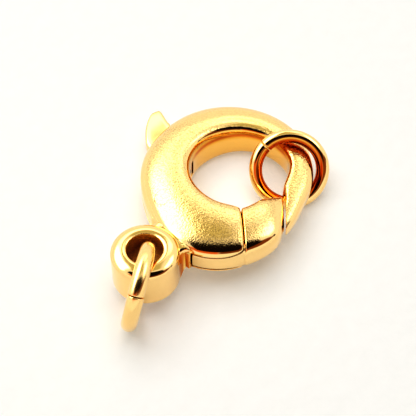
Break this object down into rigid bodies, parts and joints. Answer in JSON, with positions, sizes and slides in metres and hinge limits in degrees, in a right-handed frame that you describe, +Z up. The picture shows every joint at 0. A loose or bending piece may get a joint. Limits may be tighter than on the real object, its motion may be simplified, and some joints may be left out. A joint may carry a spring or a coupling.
{
  "type": "lobster clasp",
  "caption": "Crescent lobster clasp with a sprung lever, a cut ring through its eye and a cut ring on its hook.",
  "frame": {"origin": "the middle of the whole thing's box, on the surface that it lies on", "axes": "+X from the eye to the hook's crown, +Y to the thumb tab's side, +Z up from the surface"},
  "size_m": [0.0162, 0.0116, 0.0049],
  "materials": {
    "claw_gold": "gold plated, satin top, polished sides",
    "lever_gold": "gold plated, satin top, polished sides",
    "pin_gold": "gold plated, filed flush",
    "ring_gold": "gold plated, polished"
  },
  "bodies": {
    "claw": {"claw_body": "claw_gold", "pivot_pin": "pin_gold", "eye_ring": "ring_gold", "hook_ring": "ring_gold"},
    "lever": {"lever": "lever_gold"}
  },
  "joints": [
    {"name": "lever_pivot", "type": "hinge", "parent": "claw", "child": "lever", "pos_m": [-0.00129, 0.00042, 0.00199], "axis": [0.092, 0.08, 0.9925], "range_deg": [0, 12], "stiffness_Nm_per_rad": 0.01, "springref_deg": -8.59}
  ]
}
